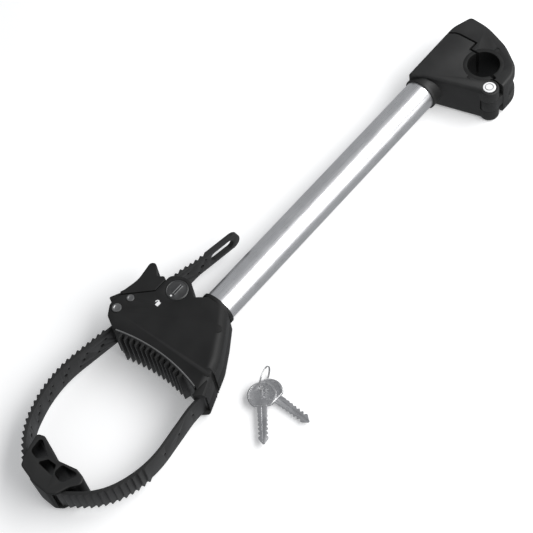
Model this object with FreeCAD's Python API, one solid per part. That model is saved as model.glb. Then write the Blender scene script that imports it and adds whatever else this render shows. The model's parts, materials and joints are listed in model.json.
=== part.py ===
"""Lockable holder arm with a hinged bar clamp, a tube, a ratchet strap and two keys. Millimetres.

Frame: the origin is the middle of the bar bore, +Z is the bore's axis and +X runs along the
tube from the clamp to the ratchet housing. The arm lies on its flat side.
"""
import FreeCAD
import Part
import math
import os

V = FreeCAD.Vector

# ---- driving dimensions ----
bar_diameter = 30.0         # bar that the clamp grips
tube_diameter = 30.0
tube_wall = 2.0
bar_tube_web = 2.5          # material between the liner and the tube
clamp_width = 38.0          # along the bar
liner_wall = 4.0
collar_x = 50.0             # end face of the clamp's collar
housing_x = 338.0           # end face of the housing's collar
tube_grip_clamp = 28.0      # tube length inside each socket
tube_grip_housing = 34.0
housing_width = 40.0
shell_wall = 3.0
strap_width = 24.0
strap_thickness = 2.6
tooth_height = 1.8
tooth_pitch = 5.6
saddle_radius = 170.0
saddle_pad_base = 1.6
saddle_rib_height = 5.0
saddle_rib_pitch = 5.8
lock_face_diameter = 20.4
lock_barrel_diameter = 17.0
hinge_pin_diameter = 8.0
hinge_knuckle_diameter = 18.0
bolt_diameter = 6.0
pad_travel = 5.0
pad_width = 31.0
key_head_diameter = 25.0
key_length = 58.0

# ---- clearances ----
pin_clearance = 0.05        # radial, shaft in a bore that turns
gap = 0.4                   # between parts that move past each other
parting_gap = 2.0           # open slot between jaw and clamp body
screw_clearance = 0.3       # radial, bolt in its through hole

# ---- places that follow from them ----
bar_radius = bar_diameter / 2
tube_radius = tube_diameter / 2
liner_radius = bar_radius + liner_wall
clamp_half = clamp_width / 2
housing_half = housing_width / 2
strap_half = strap_width / 2
pad_half = pad_width / 2
tube_y = -liner_radius - bar_tube_web - tube_radius
hinge_pin_radius = hinge_pin_diameter / 2
hinge_knuckle_radius = hinge_knuckle_diameter / 2
hinge = (bar_radius + 4.3, bar_radius + 5.5)
knuckle_half = clamp_width / 6
floor_z = -housing_half


# ---- shape helpers ----
def box(x0, x1, y0, y1, z0, z1):
    """Block between two corners."""
    return Part.makeBox(x1 - x0, y1 - y0, z1 - z0, V(x0, y0, z0))


def post(centre, radius, z0, z1):
    """Cylinder along Z."""
    return Part.makeCylinder(radius, z1 - z0, V(centre[0], centre[1], z0))


def rod(x0, x1, y, radius):
    """Cylinder along X at mid height."""
    return Part.makeCylinder(radius, x1 - x0, V(x0, y, 0), V(1, 0, 0))


def corner_arcs(corners, closed):
    """Tangent points, centre, radius and turn of each rounded corner (x, y, radius)."""
    arcs = []
    count = len(corners)
    for i, corner in enumerate(corners):
        here = V(corner[0], corner[1], 0)
        radius = corner[2] if len(corner) > 2 else 0.0
        if radius == 0 or (not closed and i in (0, count - 1)):
            arcs.append((here, here, None, 0.0, 0.0))
            continue
        before = V(*corners[i - 1][:2], 0) - here
        after = V(*corners[(i + 1) % count][:2], 0) - here
        turn = math.pi - before.getAngle(after)
        reach = radius * math.tan(turn / 2)
        start = here + before.normalize() * reach
        end = here + after.normalize() * reach
        side = 1.0 if before.cross(after).z < 0 else -1.0
        centre = start + V(before.y, -before.x, 0) * radius * side
        arcs.append((start, end, centre, radius, turn * side))
    return arcs


def path_edges(corners, closed=False, offset=0.0):
    """Straight runs and tangent arcs through the corners, moved to their left by offset."""
    arcs = corner_arcs(corners, closed)
    edges = []
    count = len(arcs)

    def shifted(point, ahead):
        left = V(-ahead.y, ahead.x, 0).normalize()
        return point + left * offset

    for i, (start, end, centre, radius, turn) in enumerate(arcs):
        if centre is not None:
            ahead_in = V(start.y - centre.y, centre.x - start.x, 0) * (-1 if turn > 0 else 1)
            ahead_out = V(end.y - centre.y, centre.x - end.x, 0) * (-1 if turn > 0 else 1)
            first = shifted(start, ahead_in)
            last = shifted(end, ahead_out)
            middle = (first + last) * 0.5 - centre
            middle = centre + middle.normalize() * (first - centre).Length
            edges.append(Part.Arc(first, middle, last).toShape())
        if i == count - 1 and not closed:
            break
        nxt = arcs[(i + 1) % count][0]
        ahead = nxt - end
        if ahead.Length > 1e-6:
            edges.append(Part.LineSegment(shifted(end, ahead), shifted(nxt, ahead)).toShape())
    return edges


def plate(corners, z0, z1):
    """Prism on a closed outline with rounded corners."""
    face = Part.Face(Part.Wire(path_edges(corners, closed=True)))
    return face.extrude(V(0, 0, z1 - z0)).translated(V(0, 0, z0))


def band(corners, inner, outer, half_width):
    """Flat strip that follows a path, between two offsets to the path's left."""
    low = path_edges(corners, offset=inner)
    high = path_edges(corners, offset=outer)
    low_ends = (low[0].firstVertex().Point, low[-1].lastVertex().Point)
    high_ends = (high[0].firstVertex().Point, high[-1].lastVertex().Point)
    caps = [Part.LineSegment(a, b).toShape() for a, b in zip(low_ends, high_ends)]
    wire = Part.Wire(Part.__sortEdges__(low + high + caps))
    return Part.Face(wire).extrude(V(0, 0, 2 * half_width)).translated(V(0, 0, -half_width))


def path_places(corners, pitch, first, last):
    """Points and unit directions every pitch along an open path, from first to last."""
    edges = path_edges(corners)
    places = []
    reached = 0.0
    target = first
    for edge in edges:
        length = edge.Length
        while target < reached + length and target <= last:
            at = edge.FirstParameter
            at += (edge.LastParameter - edge.FirstParameter) * (target - reached) / length
            places.append((edge.valueAt(at), edge.tangentAt(at)))
            target += pitch
        reached += length
    return places


def path_length(corners):
    """Length of an open path."""
    return sum(edge.Length for edge in path_edges(corners))


def soften(shape, radius, chosen):
    """Fillet the edges that the test picks."""
    return shape.makeFillet(radius, [edge for edge in shape.Edges if chosen(edge)])


def rim_edge(edge, half):
    """True for an edge that lies in one of the two flat faces at +-half."""
    box_of = edge.BoundBox
    return box_of.ZLength < 1e-4 and abs(abs(box_of.ZMin) - half) < 1e-4


def strip(points, width, half):
    """Blocks of the given width along a run of points, to saw a slot with."""
    pieces = []
    for (x0, y0), (x1, y1) in zip(points, points[1:]):
        run = V(x1 - x0, y1 - y0, 0)
        side = V(-run.y, run.x, 0).normalize() * (width / 2)
        ends = [V(x0, y0, -half) + side, V(x1, y1, -half) + side]
        ends += [V(x1, y1, -half) - side, V(x0, y0, -half) - side]
        face = Part.Face(Part.makePolygon(ends + ends[:1]))
        pieces.append(face.extrude(V(0, 0, 2 * half)))
    joints = [post(p, width / 2, -half, half) for p in points[1:-1]]
    return pieces[0].multiFuse(pieces[1:] + joints)


def one(shapes):
    """Fuse a list into one shape."""
    return shapes[0].multiFuse(shapes[1:]).removeSplitter()


def largest(shape):
    """The biggest solid of a shape, without the slivers that a cut leaves."""
    return max(shape.Solids, key=lambda solid: solid.Volume)


def both_faces(shape):
    """A shape together with its mirror image below the middle plane."""
    return shape.fuse(shape.mirror(V(0, 0, 0), V(0, 0, 1)))


def hexagon(x0, x1, y, across):
    """Hexagonal prism along X, with two flats facing +-Z."""
    radius = across / math.sqrt(3)
    corners = []
    for k in range(6):
        angle = math.radians(60 * k)
        corners.append(V(x0, y + radius * math.cos(angle), radius * math.sin(angle)))
    face = Part.Face(Part.makePolygon(corners + corners[:1]))
    return face.extrude(V(x1 - x0, 0, 0))


# ---- bar clamp ----
jaw_left_x = -bar_radius - 23.5
clamp_bottom_y = tube_y - tube_radius + 0.8
clamp_reach = clamp_half + 1.0      # tools that cut right through the clamp's width
parting_x = jaw_left_x + 21.0
parting_step_y = -bar_radius - 6.0
parting_mouth_x = -bar_radius + 7.0
parting_foot = [
    (parting_x + 8, clamp_bottom_y - 6), (parting_x + 5.5, clamp_bottom_y - 0.5),
    (parting_x + 1.2, clamp_bottom_y + 6), (parting_x, clamp_bottom_y + 11),
    (parting_x, parting_step_y), (parting_mouth_x, parting_step_y),
]
liner_key_radius = liner_radius + 4.0
pin_head_radius = hinge_pin_radius + 2.0
pin_head_seat_z = clamp_half - 1.0
swing_radius = hinge_knuckle_radius + 0.8
bolt_radius = bolt_diameter / 2
bolt_head_length = 5.5
bolt_head_radius = 5.0
bolt_rest_x = jaw_left_x + 5.5      # underside of the head, backed off
bolt_shoulder_x = parting_x - parting_gap / 2 - 4.0     # floor of the jaw's counterbore
washer_thickness = 1.5
washer_radius = 6.2
nut_x = parting_x + 3.0
nut_length = 6.0
nut_across = 10.0
neck_radius = tube_radius + 1.0
lip_radius = tube_radius + 1.7
lip_length = 3.5
shoulder_x = collar_x - 7.0
rim_fillet = 3.0
clamp_screw_x = collar_x - 14.0


def clamp_blank():
    """Whole clamp outline with its rounded rim, before it is parted into body and jaw."""
    top_y = hinge[1] + hinge_knuckle_radius + 0.5
    corners = [
        (parting_x - 4.5, clamp_bottom_y - 0.8, 30),
        (jaw_left_x - 3.3, clamp_bottom_y + 6.2, 5),
        (jaw_left_x - 2.1, -bar_radius - 9, 60),
        (jaw_left_x + 7.5, 3, 50),
        (-bar_radius + 2.5, top_y, 24),
        (hinge[0] + 6, top_y, 7),
        (hinge[0] + hinge_knuckle_radius + 0.5, hinge[1] - 6, 10),
        (shoulder_x, tube_y - 2.0, 8),
        (collar_x, clamp_bottom_y, 2),
    ]
    blank = plate(corners, -clamp_half, clamp_half)
    blank = soften(blank, rim_fillet, lambda edge: rim_edge(edge, clamp_half))
    neck = rod(collar_x - tube_grip_clamp - 2, collar_x, tube_y, neck_radius)
    lip = rod(collar_x - lip_length, collar_x, tube_y, lip_radius)
    return one([blank, neck, lip])


def hinge_web():
    """Bridge between the jaw and its middle knuckle."""
    x, y = hinge
    height = knuckle_half - gap
    corners = [(x - 11, y - 5), (x, y - 5), (x, y + hinge_knuckle_radius), (x - 6, y + 9),
               (x - 11, y + 9)]
    return plate(corners, -height, height)


def jaw_region():
    """Everything on the jaw's side of the parting line."""
    far_x = jaw_left_x - 50
    low_y = clamp_bottom_y - 20
    high_y = hinge[1] + 40
    corners = [
        (far_x, low_y), (parting_x + 8, low_y), *parting_foot[1:],
        (parting_mouth_x, -bar_radius + 4), (0, 0), (bar_radius - 7.7, bar_radius - 0.5),
        (hinge[0] - 9.5, hinge[1] - 3.5), (hinge[0] - 7, high_y), (far_x, high_y),
    ]
    return plate(corners, -clamp_reach, clamp_reach)


def parting_slot():
    """Open slot that runs from the outside to the bore."""
    points = parting_foot + [(parting_mouth_x, -bar_radius + 5)]
    return strip(points, parting_gap, clamp_reach)


def jaw_swing_room():
    """Sector around the hinge that the jaw's arm sweeps as it opens."""
    x, y = hinge
    sector = [(x, y), (x + 60, y + 26), (x + 60, y + 60), (x - 60, y + 60), (x - 60, y - 38)]
    return plate(sector, -clamp_reach, clamp_reach)


def hinge_notch():
    """Slot between the two liner halves beside the hinge."""
    points = [(bar_radius - 9.5, bar_radius - 6), (bar_radius - 6.8, bar_radius + 4)]
    return strip(points, 3.2, clamp_reach)


def liner_keys():
    """Blocks that the liner halves carry on their backs, and the grooves that take them."""
    return one([
        box(-liner_radius - 4.5, -liner_radius + 0.5, -2, 2, -clamp_half, clamp_half),
        box(liner_radius - 0.5, liner_radius + 2.5, -4, 0, -clamp_half, clamp_half),
    ])


def bar_bore():
    """Round tool for the bore that takes the liner."""
    return post((0, 0), liner_radius, -clamp_reach, clamp_reach)


def jaw_side_pocket():
    """Shallow recess in the jaw's outer side wall, between its two rims."""
    rim = 9.0
    outer = post((0, 0), 60, -clamp_half + rim, clamp_half - rim)
    keep = post((0, 0), bar_radius + 12.4, -clamp_half, clamp_half)
    wedge = plate([(0, 0), (-60, 25), (-60, 80), (5, 80)], -clamp_half, clamp_half)
    return outer.cut(keep).common(wedge)


def body_half():
    """Fixed half of the clamp: outer hinge knuckles, tube socket, nut pocket and collar."""
    blank = clamp_blank().cut(jaw_region()).cut(parting_slot())
    blank = blank.cut(post(hinge, swing_radius, -knuckle_half, knuckle_half))
    knuckles = [post(hinge, hinge_knuckle_radius, -clamp_half, -knuckle_half),
                post(hinge, hinge_knuckle_radius, knuckle_half, clamp_half)]
    knuckles = [soften(k, 1.2, lambda e: rim_edge(e, clamp_half)) for k in knuckles]
    body = blank.cut(jaw_swing_room()).multiFuse(knuckles)
    body = body.cut(bar_bore()).cut(liner_keys()).cut(hinge_notch())
    body = body.cut(post(hinge, hinge_pin_radius, -clamp_reach, clamp_reach))
    body = body.cut(post(hinge, pin_head_radius + 0.2, pin_head_seat_z, clamp_reach))
    body = body.cut(rod(collar_x - tube_grip_clamp, collar_x + 1, tube_y, tube_radius))
    shank_end = nut_x + nut_length + 4.0
    body = body.cut(rod(parting_x, shank_end, tube_y, bolt_radius + screw_clearance))
    body = body.cut(hexagon(nut_x, nut_x + nut_length, tube_y, nut_across + 0.1))
    body = body.cut(tube_screw(clamp_screw_x, clamp_half))
    groove = rod(collar_x - 8.5, collar_x - 4.0, tube_y, tube_radius + 25)
    groove = groove.cut(rod(collar_x - 9, collar_x - lip_length, tube_y, neck_radius))
    low_y = tube_y - tube_radius - 30
    groove = groove.cut(box(0, collar_x, low_y, tube_y + 2, -clamp_reach, clamp_reach))
    return body.cut(groove).removeSplitter()


def jaw_half():
    """Hinged half of the clamp: middle knuckle and the counterbored bolt hole."""
    knuckle_z = knuckle_half - gap
    swing = swing_radius + 0.2
    jaw = clamp_blank().common(jaw_region()).cut(parting_slot())
    jaw = jaw.cut(both_faces(post(hinge, swing, knuckle_half, clamp_reach)))
    jaw = jaw.cut(both_faces(post(hinge, swing, knuckle_z, knuckle_half)))
    jaw = jaw.multiFuse([post(hinge, hinge_knuckle_radius, -knuckle_z, knuckle_z), hinge_web()])
    jaw = jaw.cut(bar_bore()).cut(hinge_notch()).cut(liner_keys())
    jaw = jaw.cut(post(hinge, hinge_pin_radius + pin_clearance, -clamp_half, clamp_half))
    jaw = jaw.cut(rod(jaw_left_x, parting_x + 2, tube_y, bolt_radius + screw_clearance))
    jaw = jaw.cut(rod(jaw_left_x - 5, bolt_shoulder_x, tube_y, washer_radius + 1))
    return largest(jaw.cut(jaw_side_pocket()).removeSplitter())


def liner_parts():
    """Rubber liner of the bore in two halves, keyed into the clamp."""
    liner = post((0, 0), liner_radius, -clamp_half, clamp_half)
    liner = liner.fuse(liner_keys().common(post((0, 0), liner_key_radius, -clamp_half, clamp_half)))
    liner = liner.cut(post((0, 0), bar_radius, -clamp_half, clamp_half))
    liner = liner.cut(hinge_notch()).cut(parting_slot())
    return {
        "bar_liner_body": largest(liner.cut(jaw_region())),
        "bar_liner_jaw": largest(liner.common(jaw_region())),
    }


def hinge_pin():
    """Pin with a low round head, set into the upper knuckle."""
    top = clamp_half + 0.6
    pin = post(hinge, hinge_pin_radius, -clamp_half + 0.3, pin_head_seat_z)
    head = post(hinge, pin_head_radius, pin_head_seat_z, top)
    head = soften(head, 0.5, lambda e: e.BoundBox.ZMin > top - 0.1)
    return one([pin, head])


def bolt_parts():
    """Socket-head bolt in the jaw, its washer, and the nut held in the clamp body."""
    head_x = bolt_rest_x - bolt_head_length
    head = rod(head_x, bolt_rest_x, tube_y, bolt_head_radius)
    head = head.cut(hexagon(head_x - 0.5, head_x + 3.0, tube_y, 5.0))
    shank = rod(bolt_rest_x, parting_x - parting_gap / 2, tube_y, bolt_radius)
    washer_end = bolt_rest_x + washer_thickness
    washer = rod(bolt_rest_x, washer_end, tube_y, washer_radius)
    washer = washer.cut(rod(bolt_rest_x, washer_end, tube_y, bolt_radius))
    nut_end = nut_x + nut_length
    nut = hexagon(nut_x, nut_end, tube_y, nut_across)
    nut = nut.cut(rod(nut_x, nut_end, tube_y, bolt_radius + pin_clearance))
    return {"clamp_bolt": one([head, shank]), "clamp_washer": washer, "clamp_nut": nut}


def clamp_parts():
    """Clamp body, jaw, hinge pin, liners, bolt, washer and captive nut."""
    nodes = {"clamp_body": body_half(), "clamp_jaw": jaw_half(), "clamp_hinge_pin": hinge_pin()}
    nodes.update(liner_parts())
    nodes.update(bolt_parts())
    return nodes


# ---- tube and its screws ----
tube_screw_radius = 1.75
tube_screw_head_radius = 3.4
housing_screw_x = housing_x + 17.0


def tube_screw(x, half):
    """Countersunk screw, driven from the underside through the socket into the tube's wall."""
    shank = post((x, tube_y), tube_screw_radius, -half, -tube_radius + tube_wall)
    cone_height = tube_screw_head_radius - tube_screw_radius
    cone = Part.makeCone(tube_screw_head_radius, tube_screw_radius, cone_height, V(x, tube_y, -half))
    return one([shank, cone])


def tube_parts():
    """The tube and the two screws that hold it in its sockets."""
    x0 = collar_x - tube_grip_clamp
    x1 = housing_x + tube_grip_housing
    screws = [tube_screw(clamp_screw_x, clamp_half), tube_screw(housing_screw_x, housing_half)]
    tube = rod(x0, x1, tube_y, tube_radius).cut(rod(x0, x1, tube_y, tube_radius - tube_wall))
    tube = soften(tube, 0.6, lambda e: abs(e.BoundBox.YLength - tube_diameter) < 0.01)
    for screw in screws:
        tube = tube.cut(screw)
    return {"arm_tube": tube, "tube_screws": Part.Compound(screws)}


# ---- housing, drawn in its own frame: its origin is on the collar's end face ----
tube_line = -1.8            # the tube's axis in the housing's frame
housing_y = tube_y - tube_line
collar_lip_radius = tube_radius + 1.8
collar_neck_radius = tube_radius + 1.2
collar_neck_length = 14.0
saddle_centre = (saddle_radius + 70.0, -3.3)
saddle_half_height = 37.3    # the ribs cover this much of the arc to each side
grip_length = 36.0          # plain thick end of the strap's tail
lock_centre = (15.8, -32.8)
lock_mark_place = (36.0, -37.0)
lever_pivot = (60.5, -63.3)
hold_pivot = (46.0, -60.6)
drive_pivot = (51.0, -65.0)
cam_room_radius = 10.8
lever_pin_radius = 2.5
pawl_pin_radius = 1.5
anchor_pin_radius = 1.6
anchor_pin_half = strap_half + 2.5
strap_eye_radius = 2.8
channel_half = strap_half + gap
arm_outer = housing_half - shell_wall - gap
lock_boss_radius = lock_barrel_diameter / 2 + 3.5
housing_reach = housing_half + 1.0      # tools that cut right through the housing's width
sleeve_radius = tube_radius + 2.5
back_fillet = 8.0
anchor_y = 47.2             # inner face of the strap where it leaves the housing
anchor_end_y = anchor_y - 1.4
anchor_step = 2.2           # the strap's anchor is this much narrower on each side
mouth_height = 4.3          # open room above the strap where it leaves the anchor
screw_places = [(24.0, 21.0), (60.0, 42.0), (63.0, -40.0), (31.0, -25.0)]
screw_radius = 1.4
screw_head_radius = 2.8
screw_boss_radius = 4.0
rivet_head_overhang = 2.0   # pin heads and clips beyond their shafts


def place(shape):
    """Move a shape from the housing's own frame to the arm's frame."""
    return shape.translated(V(housing_x, housing_y, 0))


back_line = [
    (-60, -30), (23, 28.2, 40), (43, 40.6, 40), (140, 79.4), (140, -200), (-60, -200),
]
housing_outline = [
    (5, 70), (63.3, 70), (83.5, 46, 1.5),
    (83.5, -50, 1), (76.5, -54, 3), (71, -64.5, 6), (61, -71.5, 7), (48.6, -69.4, 1),
    (28, -47.6, 2), (8, -47.6, 6), (2.2, -36, 9), (3, -27, 5), (12.5, -16, 1), (5, -6, 1),
]


def housing_prism(inset, half):
    """The housing's outline between two flat faces, with every wall moved inwards by inset."""
    back = plate(back_line, -half, half)
    if inset == 0:
        back = soften(back, back_fillet, lambda e: rim_edge(e, half) and e.CenterOfMass.y > -10
                      and e.CenterOfMass.x < 130)
    solids = []
    for shape in (back, plate(housing_outline, -half, half)):
        if inset:
            face = [f for f in shape.Faces if f.CenterOfMass.z < 0.1 - half][0]
            shape = face.makeOffset2D(-inset).extrude(V(0, 0, 2 * half))
        solids.append(shape)
    return solids[0].common(solids[1])


def saddle_cut(radius):
    """Round tool that hollows the saddle, up to the strap's anchor."""
    tool = post(saddle_centre, radius, -housing_reach, housing_reach)
    return tool.common(box(40, 140, -60, anchor_end_y, -housing_reach, housing_reach))


def strap_path():
    """Inner face of the strap: from the anchor, round the loop, through the housing, to its tail."""
    return [
        (70, anchor_y), (93, anchor_y, 60), (152, 55.4, 90), (191.5, 41.2, 60), (214, 10.7, 40),
        (214, -22.8, 35), (188.5, -50, 70), (142, -67.3, 110), (67, -55.9), (-66, -35.7),
    ]


strap_anchor = (74.5, anchor_y + strap_thickness / 2)
loop_corners = strap_path()[:-1]
tail_corners = strap_path()[-2:]
feed_direction = V(*tail_corners[1], 0) - V(*tail_corners[0], 0)
feed_direction.normalize()


def strap_clearance():
    """Room that the strap needs inside the housing, at both of its ends."""
    along = [(95, tail_y(95)), (-20, tail_y(-20))]
    low = band(along, -gap, strap_thickness + tooth_height + gap, channel_half)
    inner_y = anchor_y - 0.2
    outer_y = anchor_y + strap_thickness + 0.2
    root = box(68, 90, inner_y, outer_y, -channel_half, channel_half)
    mouth = box(76, 90, inner_y, outer_y + mouth_height, -channel_half, channel_half)
    eye = post(strap_anchor, strap_eye_radius + 0.2, -channel_half, channel_half)
    return one([low, root, mouth, eye])


def tail_y(x):
    """Height of the strap's inner face where it runs straight through the housing."""
    (x0, y0), (x1, y1) = tail_corners
    return y0 + (x - x0) * (y1 - y0) / (x1 - x0)


def back_notch():
    """Notch in the back between the main shell and the strap's anchor."""
    corners = [(56.5, 43.5, 1), (60.5, 44.5, 1), (66, 66), (57.5, 64)]
    return plate(corners, -housing_half, housing_half)


def mechanism_bay():
    """Space between the two cheeks for the lever's arms and the pawls, open to the outside."""
    corners = [(24, -51), (46, -54.5), (72, -54.5), (90, -62), (80, -90), (20, -90)]
    return plate(corners, -housing_half + shell_wall, housing_half - shell_wall)


def housing_body():
    """Both shells in one piece, before the cut along the middle plane."""
    blank = housing_prism(0, housing_half).cut(saddle_cut(saddle_radius))
    cavity = housing_prism(shell_wall, housing_half - shell_wall)
    cavity = cavity.cut(saddle_cut(saddle_radius + shell_wall))
    inside = cavity.common(box(0, 90, -46, 60, -housing_half, housing_half))
    solid_bits = [
        rod(0, tube_grip_housing + 3, tube_line, sleeve_radius).common(blank),
        post(lock_centre, lock_boss_radius, -housing_half, housing_half),
        box(64, 86, 44.8, 53, -housing_half + 1, housing_half - 1).common(blank),
    ]
    solid_bits += [post(p, screw_boss_radius, -housing_half, housing_half) for p in screw_places]
    shell = blank.cut(inside).multiFuse(solid_bits)
    lip = rod(0, lip_length, tube_line, collar_lip_radius)
    neck = rod(lip_length, collar_neck_length, tube_line, collar_neck_radius)
    shell = shell.fuse(lip).fuse(neck)
    shell = shell.cut(strap_clearance()).cut(mechanism_bay()).cut(back_notch())
    return shell.cut(both_faces(box(66, 90, 46, 70, housing_half - anchor_step, housing_reach)))


def screw(centre):
    """Self-tapping screw that comes in from the underside, in a counterbore."""
    head_z = -housing_half + 2.0
    shank = post(centre, screw_radius, head_z, housing_half - 6)
    head = post(centre, screw_head_radius, head_z - 1.6, head_z + 0.4)
    return one([shank, head])


def screw_room(centre):
    """Hole and counterbore for one housing screw."""
    return screw(centre).fuse(post(centre, screw_head_radius, -housing_reach, -housing_half + 1))


def lock_bolt_room():
    """Guide slot for the locking bolt."""
    return box(13.2, 18.8, -48.5, -34, -housing_half + 3.1, -channel_half - 0.2)


def housing_shells():
    """Top and bottom shells with every hole that they need."""
    barrel = lock_barrel_diameter / 2
    face = lock_face_diameter / 2
    shell = housing_body()
    shell = shell.cut(rod(-1, tube_grip_housing, tube_line, tube_radius))
    shell = shell.cut(post(lock_centre, barrel, -channel_half, housing_reach))
    shell = shell.cut(post(lock_centre, cam_room_radius, -housing_half + 3, -channel_half + 0.01))
    shell = shell.cut(post(lock_centre, face + 0.2, housing_half - 2.2, housing_reach))
    shell = shell.cut(lock_bolt_room())
    for centre, radius in ((lever_pivot, lever_pin_radius), (hold_pivot, pawl_pin_radius)):
        shell = shell.cut(post(centre, radius, -housing_reach, housing_reach))
        clip_room = radius + rivet_head_overhang + 0.2
        shell = shell.cut(post(centre, clip_room, -housing_reach, -housing_half + 1.2))
    shell = shell.cut(post(strap_anchor, anchor_pin_radius, -anchor_pin_half, anchor_pin_half))
    for centre in screw_places:
        shell = shell.cut(screw_room(centre))
    tube_fixing = tube_screw(housing_screw_x, housing_half)
    shell = shell.cut(tube_fixing.translated(V(-housing_x, -housing_y, 0)))
    shell = shell.cut(lock_mark())
    wide = box(-20, 120, -100, 80, 0, housing_half + 5)
    return shell.common(wide), shell.cut(wide)


def lock_mark():
    """Generic open padlock sign: a body and a shackle, standing a hair proud."""
    x, y = lock_mark_place
    low = housing_half - 0.3
    high = housing_half + 0.1
    body = box(x - 2.2, x + 2.2, y - 1.6, y + 1.6, low, high)
    bow = (x - 1.2, y - 1.6)
    shackle = post(bow, 1.9, low, high).cut(post(bow, 1.1, low, high))
    half = box(bow[0] - 3, bow[0] + 3, bow[1], bow[1] + 3, low, high)
    half.rotate(V(bow[0], bow[1], 0), V(0, 0, 1), -50)
    return body.fuse(shackle.cut(half))


# ---- saddle pad ----
def saddle_pad():
    """Rubber pad in the housing's hollow, with cross ribs."""
    x, y = saddle_centre
    half = housing_half - gap
    pad = saddle_cut(saddle_radius)
    pad = pad.cut(post(saddle_centre, saddle_radius - saddle_pad_base, -housing_reach, housing_reach))
    pad = pad.common(box(40, 140, -50, 43, -half, half))
    foot = x - saddle_radius + saddle_pad_base / 2
    crest = foot + saddle_pad_base / 2 + saddle_rib_height
    profile = [(foot, y - 1.5), (crest, y - 0.5), (crest, y + 0.7), (foot, y + 1.5)]
    count = int(2 * saddle_half_height / saddle_rib_pitch) + 1
    ribs = []
    for k in range(count):
        angle = (k - (count - 1) / 2 + 1.0) * saddle_rib_pitch / saddle_radius
        rib = plate(profile, -half, half)
        rib.rotate(V(x, y, 0), V(0, 0, 1), math.degrees(angle))
        ribs.append(rib)
    return one([pad] + ribs)


# ---- strap ----
def toothed(corners, first, last):
    """Strap of constant thickness with ratchet teeth on its outer face from first to last."""
    base = band(corners, 0, strap_thickness, strap_half)
    teeth = []
    for point, ahead in path_places(corners, tooth_pitch, first, last):
        left = V(-ahead.y, ahead.x, 0)
        foot = point + left * (strap_thickness - 0.2)
        tip = point + left * (strap_thickness + tooth_height) + ahead * (0.15 * tooth_pitch)
        corner_points = [foot - ahead * (0.45 * tooth_pitch), tip,
                         tip + ahead * (0.15 * tooth_pitch), foot + ahead * (0.45 * tooth_pitch)]
        low = V(0, 0, -strap_half)
        ring = [p + low for p in corner_points]
        teeth.append(Part.Face(Part.makePolygon(ring + ring[:1])).extrude(V(0, 0, strap_width)))
    return base.multiFuse(teeth).removeSplitter()


def strap_parts():
    """Strap loop with its anchor pin, and the tail that feeds through the ratchet."""
    loop_end = path_length(loop_corners)
    loop = toothed(loop_corners, 84.0, loop_end - 2 * tooth_pitch)
    loop = loop.fuse(post(strap_anchor, strap_eye_radius, -strap_half, strap_half))
    loop = loop.cut(post(strap_anchor, anchor_pin_radius, -strap_half, strap_half))
    for point, ahead in path_places(loop_corners, 20.5, 22.0, 76.0):
        loop = loop.cut(strap_hole(point, ahead, 0.0, 1.3))
    loop = hole_pattern(loop, loop_corners, loop_end - 125, loop_end - 10)
    tail_length = path_length(tail_corners)
    tail = toothed(tail_corners, 3.0, tail_length - grip_length)
    grip_start = V(*tail_corners[1], 0) - feed_direction * grip_length
    grip_line = [(grip_start.x, grip_start.y), tail_corners[1]]
    tail = tail.fuse(band(grip_line, 0, strap_thickness + tooth_height, strap_half))
    tail = hole_pattern(tail, tail_corners, tail_length - grip_length - 28, tail_length - grip_length)
    tail = tail.common(tail_outline())
    tail = tail.cut(finger_slot())
    anchor_pin = post(strap_anchor, anchor_pin_radius, -anchor_pin_half, anchor_pin_half)
    return {"strap_loop": loop, "strap_tail": tail, "strap_anchor_pin": anchor_pin}


def hole_pattern(strap, corners, first, last):
    """Central holes along a strap, each with a smaller one on either side of it."""
    for point, ahead in path_places(corners, 20.5, first, last):
        strap = strap.cut(strap_hole(point, ahead, 0.0, 1.8))
        for side in (-1, 1):
            beside = point + ahead * (5.0 * side)
            strap = strap.cut(strap_hole(beside, ahead, 5.0 * side, 1.1))
    return strap


def strap_hole(point, ahead, z, radius):
    """Round tool through the strap's thickness."""
    left = V(-ahead.y, ahead.x, 0)
    return Part.makeCylinder(radius, 8, point - left * 2 + V(0, 0, z), left)


def along_tail(profile, depth):
    """Extrude a profile, drawn in distance along the tail and z, through the strap."""
    start = V(*tail_corners[0], 0)
    side = V(-feed_direction.y, feed_direction.x, 0)
    turn = FreeCAD.Matrix(feed_direction.x, 0, side.x, start.x,
                          feed_direction.y, 0, side.y, start.y,
                          0, 1, 0, 0,
                          0, 0, 0, 1)
    return profile.transformGeometry(turn).extrude(side * depth).translated(side * -2)


def flat_face(corners):
    """Closed outline as a face in the XY plane."""
    return Part.Face(Part.Wire(path_edges(corners, closed=True)))


def tail_outline():
    """The tail narrows towards a rounded end."""
    end = path_length(tail_corners)
    narrow = strap_half - 3.0
    corners = [(-1, -strap_half), (end - 62, -strap_half), (end - 48, -narrow, 20),
               (end, -narrow, narrow - 0.5), (end, narrow, narrow - 0.5),
               (end - 48, narrow, 20), (end - 62, strap_half), (-1, strap_half)]
    return along_tail(flat_face(corners), 10)


def finger_slot():
    """Long hole near the tail's end."""
    end = path_length(tail_corners)
    half = 5.2
    corners = [(end - 33, -half, half - 0.2), (end - 7, -half, half - 0.2),
               (end - 7, half, half - 0.2), (end - 33, half, half - 0.2)]
    return along_tail(flat_face(corners), 10)


# ---- pad on the strap ----
pad_play = 0.6              # between the pad and the strap's faces


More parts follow.
